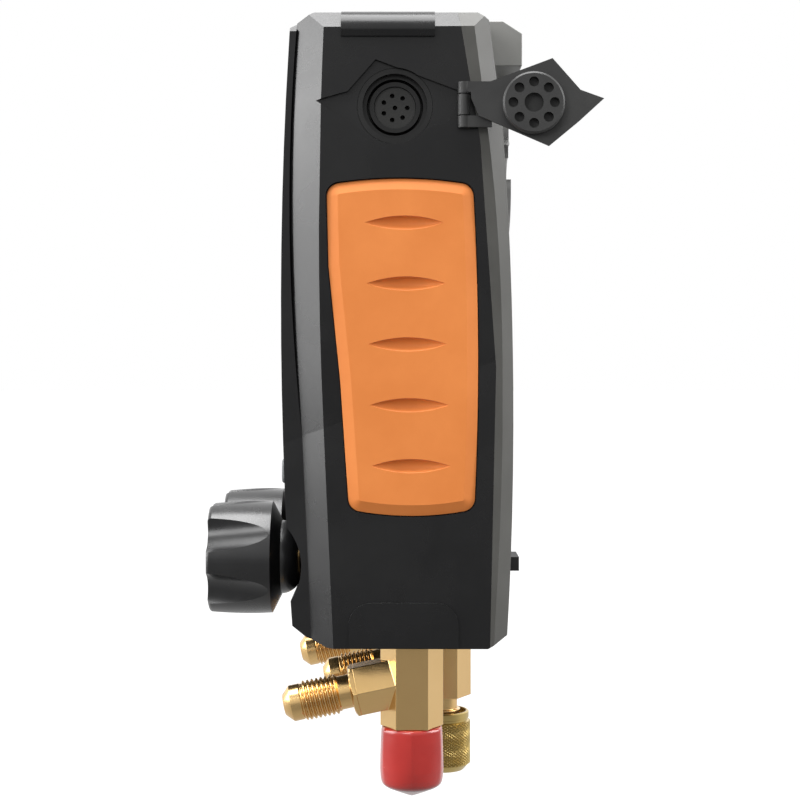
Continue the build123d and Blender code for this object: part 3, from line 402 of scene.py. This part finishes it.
bright_block = machined("bright_block", (0.66, 0.66, 0.66), (0.76, 0.76, 0.76), 0.34, 0.05)
lens_clear = clear_window("lens_clear", 0.05, (0.96, 0.98, 0.98))
sight_clear = clear_window("sight_clear", 0.03, (0.95, 0.98, 0.97))


def finish_with(piece, material):
    """Gives a piece its one material."""
    piece.data.materials.clear()
    piece.data.materials.append(material)


# ---------------------------------------------------------------- casing pieces
node_finish = {
    "lcd_module": lcd_glass, "display_lens": lens_clear, "main_board": board_green,
    "key_mat": seal_rubber, "stem_seals": seal_rubber, "sight_glass": sight_clear,
    "valve_block": bright_block, "sight_glass_ring": brass, "battery_tray": tray_black,
    "batteries": cell_wrap, "battery_contacts": steel, "hook_pin": steel,
    "housing_screws": steel, "sensor_low": steel, "sensor_high": steel,
    "stem_low": steel, "stem_high": steel, "plunger_low": brass, "plunger_high": brass,
    "cap_seal": seal_rubber, "cap_centre": knurled_brass,
    "cap_low": vinyl_blue, "cap_high": vinyl_red,
    "tee_low": brass, "tee_high": brass, "tee_centre": brass,
    "grip_pad_right": grip_orange, "grip_pad_left": grip_orange,
    "socket_insert_right": insert_black, "socket_insert_left": insert_black,
    "cover_strap_right": cover_rubber, "cover_strap_left": cover_rubber,
    "socket_cover_right": cover_rubber, "socket_cover_left": cover_rubber,
    "probe_socket_right": socket_black, "probe_socket_left": socket_black,
    "knob_low": knob_black, "knob_high": knob_black,
    "rear_feet": seal_rubber,
    "key_1": key_rubber, "key_2": key_rubber, "key_3": key_rubber, "key_4": key_rubber,
}
for name, material in node_finish.items():
    finish_with(frame["nodes"][name], material)

for name, width, material, slot_name in (
        ("main_shell", 0.35 * MM, shell_black, "casing_dark"),
        ("front_frame", 0.3 * MM, frame_black, "casing_dark"),
        ("rear_shell", 0.3 * MM, rear_grey, "rear_grey"),
        ("hook_bracket", 0.3 * MM, bracket_grey, "rear_grey"),
        ("battery_door", 0.2 * MM, rear_grey, "rear_grey"),
        ("hanging_hook", 0.4 * MM, steel, "steel"),
        ("bonnet_low", 0.2 * MM, brass, "brass"), ("bonnet_high", 0.2 * MM, brass, "brass")):
    finish_with(softened(name, width), material)


# ---------------------------------------------------------------- hose ports
def thread_height(angle, z, start, end):
    """Height from 0 to 1 of a right-hand V thread: a triangle wave of z / pitch - angle / turn, cut
    flat at its crests and roots, that fades in and out over half a pitch at the ends."""
    phase = np.mod(z / thread_pitch - angle / (2 * np.pi), 1.0)
    wave = 1.0 - np.abs(2.0 * phase - 1.0)
    tooth = np.clip((wave - 0.14) / 0.62, 0.0, 1.0)
    fade = np.clip(np.minimum(z - start, end - z) / (0.5 * thread_pitch), 0.0, 1.0)
    return tooth * fade


def flare_branch(name, origin):
    """Turned end of a branch: neck, threaded length, 45 degree flare cone and bore, as one closed
    grid. Its radius is the profile's radius plus the thread height on the threaded rows."""
    thread_start = branch_collar_end + branch_neck - 0.4 * MM
    thread_end = branch_length - branch_tip
    neck_radius = crest_radius - 0.9 * MM
    cone_radius = crest_radius - 0.5 * MM
    face_radius = cone_radius - 2.2 * MM
    before = np.array([[branch_collar_end - 0.5 * MM, neck_radius],
                       [thread_start - 0.2 * MM, neck_radius], [thread_start, root_radius]])
    rows = np.linspace(thread_start, thread_end, 150)[1:-1]
    after = np.array([[thread_end, root_radius], [thread_end + 0.3 * MM, cone_radius],
                      [branch_length - 2.2 * MM, cone_radius],
                      [branch_length - 2.0 * MM, cone_radius - 0.15 * MM],
                      [branch_length - 0.05 * MM, face_radius + 0.1 * MM],
                      [branch_length, face_radius], [branch_length, branch_bore + 0.15 * MM],
                      [branch_length - 0.15 * MM, branch_bore],
                      [branch_collar_end + 1.0 * MM, branch_bore]])
    z = np.concatenate([before[:, 0], rows, after[:, 0]])
    base = np.concatenate([before[:, 1], np.full(len(rows), root_radius), after[:, 1]])
    angle = turn_of(112)
    tooth = thread_height(angle[None, :], z[:, None], thread_start, thread_end)
    threaded = (z > thread_start) & (z < thread_end)
    radius = base[:, None] + np.where(threaded[:, None], tooth * (crest_radius - root_radius), 0.0)
    return solid_from_grid(name, along_axis(z, radius, origin, branch_direction), 28.0)


def collar_end(name, origin):
    """Turned chamfer at the end of a branch's hexagon: the radius is the smaller of the hexagon's,
    half its flats over cos(angle from a flat's middle), and a cone that closes by 60 degrees."""
    angle = turn_of(144)
    hexagon = collar_flats / 2 / np.cos(np.mod(angle, np.pi / 3) - np.pi / 6)
    start = branch_collar_end - collar_chamfer
    z = np.concatenate([[start - 0.4 * MM], np.linspace(start, branch_collar_end, 16)])
    face_radius = collar_flats / 2 - 0.35 * MM
    cone = face_radius + (branch_collar_end - z) * math.tan(math.radians(60.0))
    radius = np.minimum(hexagon[None, :], cone[:, None])
    radius[0] -= 0.3 * MM                       # the hidden back face stays inside the hexagon
    return solid_from_grid(name, along_axis(z, radius, origin, branch_direction), 20.0)


def tee_body(name, spot):
    """Hexagonal tee without the turned end of its branch, edges broken by a small bevel. The
    branch's hexagon is drawn back by its chamfer and held between the tee's flats, and each short
    wedge that one of its corners leaves on a flat is drawn together at the flat's edge."""
    mesh = merged_copy("tee_" + name, f"tee_{name}_body")
    origin = np.array([spot[0], spot[1], casing_bottom - branch_drop])
    direction = np.array(branch_direction)
    half_flats = tee_flats / 2
    shape = bmesh.new()
    shape.from_mesh(mesh)

    def offset_along(vertex):
        """Place of a point from the tee's middle, and how far that is along the branch."""
        offset = np.array(vertex.co) - origin
        return offset, offset @ direction

    def is_turned(face):
        """True for a face of the round end, which lies past the collar and near the axis."""
        offsets = [offset_along(vertex) for vertex in face.verts]
        return (min(along for _, along in offsets) > branch_collar_end - touch
                and max(np.linalg.norm(np.cross(offset, direction)) for offset, _ in offsets)
                < crest_radius + 0.3 * MM)

    def in_wedge(vertex, side):
        """True for a point on the flat of that side, close to the branch's axis."""
        offset, along = offset_along(vertex)
        return (abs(offset[0] - side * half_flats) < 0.01 * MM
                and -0.5 * MM < along < branch_collar_end - 2.0 * MM
                and np.linalg.norm((offset - along * direction)[1:]) < 0.45 * MM)

    bmesh.ops.delete(shape, geom=[face for face in shape.faces if is_turned(face)],
                     context="FACES")
    for vertex in shape.verts:
        along = offset_along(vertex)[1]
        if along > branch_collar_end - touch:
            vertex.co += Vector(direction) * (branch_collar_end - collar_chamfer - along)
        aside = vertex.co.x - spot[0]
        vertex.co.x = spot[0] + max(-half_flats, min(half_flats, aside))
    for side in (-1, 1):
        wedge = [vertex for vertex in shape.verts if in_wedge(vertex, side)]
        if len(wedge) > 1:
            last = max(offset_along(vertex)[1] for vertex in wedge)
            rim = [vertex.co for vertex in wedge if offset_along(vertex)[1] > last - 0.3 * MM]
            bmesh.ops.pointmerge(shape, verts=wedge, merge_co=sum(rim, Vector()) / len(rim))
    bmesh.ops.dissolve_degenerate(shape, dist=0.01 * MM, edges=shape.edges)
    bmesh.ops.dissolve_limit(shape, angle_limit=math.radians(0.5), verts=shape.verts,
                             edges=shape.edges)
    shape.to_mesh(mesh)
    shape.free()
    piece = link(mesh.name, mesh)
    round_edges(piece, 0.22 * MM, 28.0)
    return piece


for name, spot in tee_spots.items():
    body = tee_body(name, spot)
    finish_with(body, brass)
    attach(body, "casing")
    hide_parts("tee_" + name)
    middle = (spot[0], spot[1], casing_bottom - branch_drop)
    for turned in (flare_branch(f"flare_{name}", middle),
                   collar_end(f"collar_{name}", middle)):
        finish_with(turned, brass)
        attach(turned, "casing")


# ---------------------------------------------------------------- caps
def knurled_cap():
    """Cap with a diamond knurl: the height is the smaller of two triangle waves, one of angle + z
    and one of angle - z, so that the raised diamonds lie on crossing helices."""
    low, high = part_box("cap_centre")
    cx, cy = middle_of("cap_centre")
    top, bottom = high.z, low.z
    outer = (high.x - low.x) / 2
    inner = crest_radius + 0.1 * MM
    teeth, lead, knurl_height = 40, 34.0 * MM, 0.45 * MM
    angle = turn_of(320)
    band_top, band_bottom = top - 3.0 * MM, bottom + 1.9 * MM
    lip, groove = outer - 0.45 * MM, outer - 0.8 * MM
    head = np.array([[top - 8.4 * MM, inner], [top - 2.2 * MM, inner],
                     [top - 2.2 * MM, outer - 1.4 * MM], [top - 0.2 * MM, outer - 1.4 * MM],
                     [top, outer - 1.2 * MM], [top, groove],
                     [top - 0.3 * MM, lip], [top - 2.0 * MM, lip],
                     [top - 2.2 * MM, groove], [top - 2.8 * MM, groove],
                     [band_top, outer - 0.5 * MM]])
    rows = np.linspace(band_top, band_bottom, 120)[1:-1]
    tail = np.array([[band_bottom, outer - 0.5 * MM], [bottom + 1.7 * MM, outer - 0.55 * MM],
                     [bottom + 0.3 * MM, outer - 1.75 * MM], [bottom, outer - 2.1 * MM],
                     [bottom, 0.5 * MM]])
    z = np.concatenate([head[:, 0], rows, tail[:, 0]])
    base = np.concatenate([head[:, 1], np.full(len(rows), lip), tail[:, 1]])
    turn = teeth * angle[None, :] / (2 * np.pi)
    climb = teeth * z[:, None] / lead
    right = 1.0 - np.abs(2.0 * np.mod(turn + climb, 1.0) - 1.0)
    left = 1.0 - np.abs(2.0 * np.mod(turn - climb, 1.0) - 1.0)
    diamond = np.clip(np.minimum(right, left) / 0.42, 0.0, 1.0)
    knurled = (z < band_top) & (z > band_bottom)
    radius = base[:, None] + np.where(knurled[:, None], diamond * knurl_height, 0.0)
    points = along_axis(z, radius, (cx, cy, 0.0), (0, 0, 1))
    return solid_from_grid("cap_centre_knurl", points, 24.0)


cap = knurled_cap()
finish_with(cap, knurled_brass)
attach(cap, "cap_centre")
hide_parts("cap_centre")


def vinyl_cap(name, node_name):
    """Dipped vinyl cap: a turned profile whose upper part is drawn over the hexagon, so its radius
    loses up to 5.5% between six corners, as 1 / cos of the angle from each flat's middle, fading
    towards the pointed end."""
    low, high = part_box(node_name)
    cx, cy = middle_of(node_name)
    top, bottom = high.z, low.z
    length = top - bottom
    full = (high.x - low.x) / 2
    hexagon_draw = 0.055
    # share of the length from the top, and share of the full radius there
    profile = np.array([[0.0, 0.92], [0.015, 0.955], [0.05, 0.97], [0.20, 0.99], [0.40, 1.0],
                        [0.60, 0.985], [0.72, 0.955], [0.78, 0.925], [0.82, 0.88],
                        [0.86, 0.76], [0.92, 0.46], [0.96, 0.25], [0.985, 0.12], [1.0, 0.02]])
    down = np.linspace(0, 1, 100)
    outer = np.interp(down, profile[:, 0], profile[:, 1]) * full
    outer[1:-1] = (outer[:-2] + 2 * outer[1:-1] + outer[2:]) / 4
    # drop from the top, and radius, of the hollow that goes over the port
    hollow = np.array([[12.2, 5.0], [12.0, 5.6], [0.4, 5.6], [0.05, 6.2]]) * MM
    z = np.concatenate([top - hollow[:, 0], top - down * length])
    base = np.concatenate([hollow[:, 1], outer])
    outside = np.concatenate([np.zeros(len(hollow)), np.ones(len(outer))])[:, None]
    corner = np.mod(turn_of(120), np.pi / 3) - np.pi / 6
    flatness = 1.0 - np.clip((1.0 / np.cos(corner) - 1.0) / (2.0 / np.sqrt(3.0) - 1.0), 0, 1)
    depth = np.clip(((z - bottom) / length - 0.12) / 0.5, 0.0, 1.0)[:, None] * hexagon_draw
    radius = base[:, None] * (1.0 - flatness[None, :] * depth * outside)
    piece = solid_from_grid(name, along_axis(z, radius, (cx, cy, 0.0), (0, 0, 1)), 60.0)
    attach(piece, frame["nodes"][node_name]["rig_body"])
    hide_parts(node_name)
    return piece


finish_with(vinyl_cap("cap_high_vinyl", "cap_high"), vinyl_red)
finish_with(vinyl_cap("cap_low_vinyl", "cap_low"), vinyl_blue)


# ---------------------------------------------------------------- display and key marks
mark_thickness = 0.02 * MM


def flat_marks(name, outlines, y, body, material):
    """Thin printed marks facing -Y: each outline is a run of (x, z) corners, all in one mesh that a
    Solidify modifier gives the thickness of the ink."""
    vertices, faces = [], []
    for outline in outlines:
        start = len(vertices)
        vertices += [(x, y, z) for x, z in outline]
        faces.append(list(range(start, start + len(outline))))
    mesh = bpy.data.meshes.new(name)
    mesh.from_pydata(vertices, [], faces)
    mesh.update()
    if mesh.polygons[0].normal.y > 0:
        mesh.flip_normals()
    piece = link(name, mesh)
    film = piece.modifiers.new("film", "SOLIDIFY")
    film.thickness = mark_thickness
    film.offset = -1.0
    finish_with(piece, material)
    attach(piece, body)
    return piece


# bars of the digits that are shown, and each bar's side, level and direction
digit_bars = {"0": "abcdef", "1": "bc", "2": "abged", "4": "fgbc", "5": "afgcd",
              "6": "afgedc", "8": "abcdefg"}
bar_places = {"a": (0, 1.0, "level"), "g": (0, 0.5, "level"), "d": (0, 0.0, "level"),
              "f": (0, 0.5, "upright"), "b": (1, 0.5, "upright"),
              "e": (0, 0.0, "upright"), "c": (1, 0.0, "upright")}


def digit_outlines(text, left, base, height):
    """Seven-segment digits: six-cornered bars that lean right by a tenth of their height over the
    base, and a square for the point."""
    outlines, width, bar = [], height * 0.52, height * 0.12
    h = bar / 2
    level_bar = [(h, 0), (2 * h, h), (width - 2 * h, h), (width - h, 0), (width - 2 * h, -h),
                 (2 * h, -h)]
    upright_bar = [(0, h), (h, 2 * h), (h, height / 2 - 2 * h), (0, height / 2 - h),
                   (-h, height / 2 - 2 * h), (-h, 2 * h)]
    x = left
    for symbol in text:
        if symbol == ".":
            outlines.append(box_outline(x - bar * 0.6, x + bar * 0.4, base, base + bar))
            x += bar * 0.9
            continue
        for letter in digit_bars[symbol]:
            side, level, kind = bar_places[letter]
            corners = level_bar if kind == "level" else upright_bar
            z = base + level * height
            placed = [(x + side * width + u, z + v) for u, v in corners]
            outlines.append([(u + (v - base) * 0.10, v) for u, v in placed])
        x += width + bar * 1.9
    return outlines


def box_outline(left, right, low, high):
    """Rectangle as four (x, z) corners."""
    return [(left, low), (right, low), (right, high), (left, high)]


lcd_low, lcd_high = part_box("lcd_module")
screen_y = lcd_low.y - 0.05 * MM
half = (lcd_high.x - lcd_low.x) / 2 - 5 * MM
upper = lcd_high.z - 10 * MM
marks = []
for column_left, top_value, low_value in ((-half + 3 * MM, "4.85", "21.4"),
                                          (4 * MM, "16.2", "48.6")):
    marks += digit_outlines(top_value, column_left, upper - 17 * MM, 13 * MM)
    marks += digit_outlines(low_value, column_left + 6 * MM, upper - 38 * MM, 10 * MM)
    marks += digit_outlines("0", column_left + 29 * MM, upper - 30.5 * MM, 2 * MM)
    marks += digit_outlines("5.2", column_left + 6 * MM, upper - 58 * MM, 8 * MM)
marks.append(box_outline(-half, half, upper - 0.2 * MM, upper))
marks.append(box_outline(-0.15 * MM, 0.15 * MM, upper - 60 * MM, upper - 3 * MM))
for step in range(4):
    left = -half + 1 * MM + step * 1.7 * MM
    marks.append(box_outline(left, left + 1.1 * MM, upper + 1.4 * MM,
                             upper + (2.2 + 0.7 * step) * MM))
marks.append(box_outline(half - 8 * MM, half - 1 * MM, upper + 1.4 * MM, upper + 4.4 * MM))
flat_marks("lcd_digits", marks, screen_y, "casing", lcd_ink)

# printed border behind the lens: four strips between the lens outline and the display's window
lens_low, lens_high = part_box("display_lens")
border_y = (lens_high.y + lcd_low.y) / 2
lens_inset, window_inset = 2.4 * MM, 2.2 * MM
outer_x, window_x = lens_high.x - lens_inset, lcd_high.x - window_inset
outer_low, outer_high = lens_low.z + lens_inset, lens_high.z - lens_inset
window_low, window_high = lcd_low.z + window_inset, lcd_high.z - window_inset
border = [box_outline(-outer_x, outer_x, window_high, outer_high),
          box_outline(-outer_x, outer_x, outer_low, window_low),
          box_outline(-outer_x, -window_x, window_low, window_high),
          box_outline(window_x, outer_x, window_low, window_high)]
flat_marks("lens_border", border, border_y, "casing", mask_ink)

# up, down and pause on the first three keys, as (x, z) corners in millimetres from the key's middle
key_mark_gap = 0.03 * MM
key_symbols = {
    1: [[(-1.6, -1.2), (1.6, -1.2), (0.0, 1.5)]],
    2: [[(-1.6, 1.2), (0.0, -1.5), (1.6, 1.2)]],
    3: [box_outline(-1.6, -0.5, -1.4, 1.4), box_outline(0.5, 1.6, -1.4, 1.4)],
}
for number, outlines in key_symbols.items():
    low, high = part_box(f"key_{number}")
    cx, cz = (low.x + high.x) / 2, (low.z + high.z) / 2
    placed = [[(cx + x * MM, cz + z * MM) for x, z in outline] for outline in outlines]
    flat_marks(f"key_{number}_mark", placed, low.y - key_mark_gap, f"key_{number}", key_ink)

# on and off on the fourth key: a ring open at the top, in short straight steps, and an upright bar
low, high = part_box("key_4")
cx, cz = (low.x + high.x) / 2, (low.z + high.z) / 2
angles = np.linspace(math.radians(125), math.radians(415), 28)
ring_outer, ring_inner = 1.9 * MM, 1.5 * MM
ring = [[(cx + r * math.cos(a), cz + r * math.sin(a)) for r, a in
         ((ring_outer, start), (ring_inner, start), (ring_inner, end), (ring_outer, end))]
        for start, end in zip(angles[:-1], angles[1:])]
ring.append(box_outline(cx - 0.2 * MM, cx + 0.2 * MM, cz + 0.2 * MM, cz + 2.3 * MM))
flat_marks("key_4_mark", ring, low.y - key_mark_gap, "key_4", key_ink)


# ---------------------------------------------------------------- floor, light and camera
def stage_material(name, colour, glow, mirror_glow):
    """Plain pale stage paint: it shows white to the camera and throws only a little light back, and
    in mirror rays it glows more towards the far side of the object, by its place along X."""
    material, tree, shader = new_material(name)
    far_glow = 0.55
    shader.inputs["Base Color"].default_value = (*colour, 1)
    shader.inputs["Roughness"].default_value = 0.9
    shader.inputs["Specular IOR Level"].default_value = 0.1
    shader.inputs["Emission Color"].default_value = (1, 1, 1, 1)
    rays = node(tree, "ShaderNodeLightPath")
    spot = node(tree, "ShaderNodeTexCoord")
    axes = node(tree, "ShaderNodeSeparateXYZ")
    tree.links.new(spot.outputs["Object"], axes.inputs["Vector"])
    behind = node(tree, "ShaderNodeMapRange", {"From Min": 0.12, "From Max": -0.02,
                                               "To Min": mirror_glow,
                                               "To Max": mirror_glow + far_glow})
    tree.links.new(axes.outputs["X"], behind.inputs["Value"])
    mirrored = node(tree, "ShaderNodeMath", operation="MULTIPLY")
    tree.links.new(rays.outputs["Is Glossy Ray"], mirrored.inputs[0])
    tree.links.new(behind.outputs["Result"], mirrored.inputs[1])
    seen = node(tree, "ShaderNodeMath", {1: glow}, operation="MULTIPLY_ADD")
    tree.links.new(rays.outputs["Is Camera Ray"], seen.inputs[0])
    tree.links.new(mirrored.outputs[0], seen.inputs[2])
    tree.links.new(seen.outputs[0], shader.inputs["Emission Strength"])
    return material


floor_mesh = bpy.data.meshes.new("studio_floor")
reach = 6.0
floor_mesh.from_pydata([(x, y, floor_level) for x, y in box_outline(-reach, reach, -reach, reach)],
                       [], [[0, 1, 2, 3]])
floor = link("studio_floor", floor_mesh)
floor.data.materials.append(stage_material("stage_white", (0.10, 0.10, 0.10), 0.90, 0.06))


def softbox(name, place, aim, size, power):
    """Rectangular area light at place, facing aim; size is in metres and power in watts."""
    lamp = bpy.data.lights.new(name, "AREA")
    lamp.shape = "RECTANGLE"
    lamp.size, lamp.size_y = size
    lamp.energy = power
    light = bpy.data.objects.new(name, lamp)
    bpy.context.scene.collection.objects.link(light)
    light.location = place
    way = Vector(aim) - Vector(place)
    light.rotation_euler = way.to_track_quat("-Z", "Y").to_euler()


softbox("front_box", (0.10, -1.0, 0.30), (0.05, 0.0, -0.05), (0.7, 0.50), 7.5)
softbox("front_low_box", (0.05, -0.95, -0.01), (0.05, 0.0, -0.12), (0.8, 0.38), 5.5)
softbox("rear_box", (0.15, 1.0, 0.32), (0.05, 0.0, -0.05), (0.5, 0.7), 9.5)
softbox("top_box", (0.16, -0.05, 0.95), (0.0, -0.03, -0.05), (0.8, 0.8), 22.0)
softbox("side_box", (1.1, -0.8, 0.5), (0.0, -0.03, -0.1), (0.5, 0.5), 6.0)

# surroundings: plain white to the camera, and to every other ray brighter upwards and towards -X
world = bpy.data.worlds.new("studio")
bpy.context.scene.world = world
world.use_nodes = True
sky = world.node_tree
background = sky.nodes["Background"]
gaze = node(sky, "ShaderNodeTexCoord")
axes = node(sky, "ShaderNodeSeparateXYZ")
sky.links.new(gaze.outputs["Generated"], axes.inputs["Vector"])
ambient = node(sky, "ShaderNodeMapRange", {"From Min": -0.12, "From Max": 0.16, "To Min": 0.16,
                                           "To Max": 0.85})
sky.links.new(axes.outputs["Z"], ambient.inputs["Value"])
backdrop = node(sky, "ShaderNodeMapRange", {"From Min": 0.1, "From Max": -0.7, "To Min": 0.0,
                                            "To Max": 0.75})
sky.links.new(axes.outputs["X"], backdrop.inputs["Value"])
around = node(sky, "ShaderNodeMath", operation="ADD")
sky.links.new(ambient.outputs["Result"], around.inputs[0])
sky.links.new(backdrop.outputs["Result"], around.inputs[1])
rays = node(sky, "ShaderNodeLightPath")
strength = node(sky, "ShaderNodeMix", {"B": 1.0}, data_type="FLOAT")
sky.links.new(rays.outputs["Is Camera Ray"], strength.inputs["Factor"])
sky.links.new(around.outputs[0], strength.inputs["A"])
sky.links.new(strength.outputs["Result"], background.inputs["Strength"])
background.inputs["Color"].default_value = (1, 1, 1, 1)

camera_data = bpy.data.cameras.new("camera")
camera = bpy.data.objects.new("camera", camera_data)
bpy.context.scene.collection.objects.link(camera)
camera.location = (0.540, -0.0312, -0.087)
camera.rotation_euler = (math.radians(90), 0.0, math.radians(90))
frame_pixels, focal_pixels, shift_pixels = 800, 1771.0, -50.0
camera_data.sensor_width = 36.0
camera_data.lens = focal_pixels / frame_pixels * camera_data.sensor_width
camera_data.shift_y = shift_pixels / frame_pixels
camera_data.clip_start = 0.01
bpy.context.scene.camera = camera
bpy.context.scene.view_settings.view_transform = "Standard"
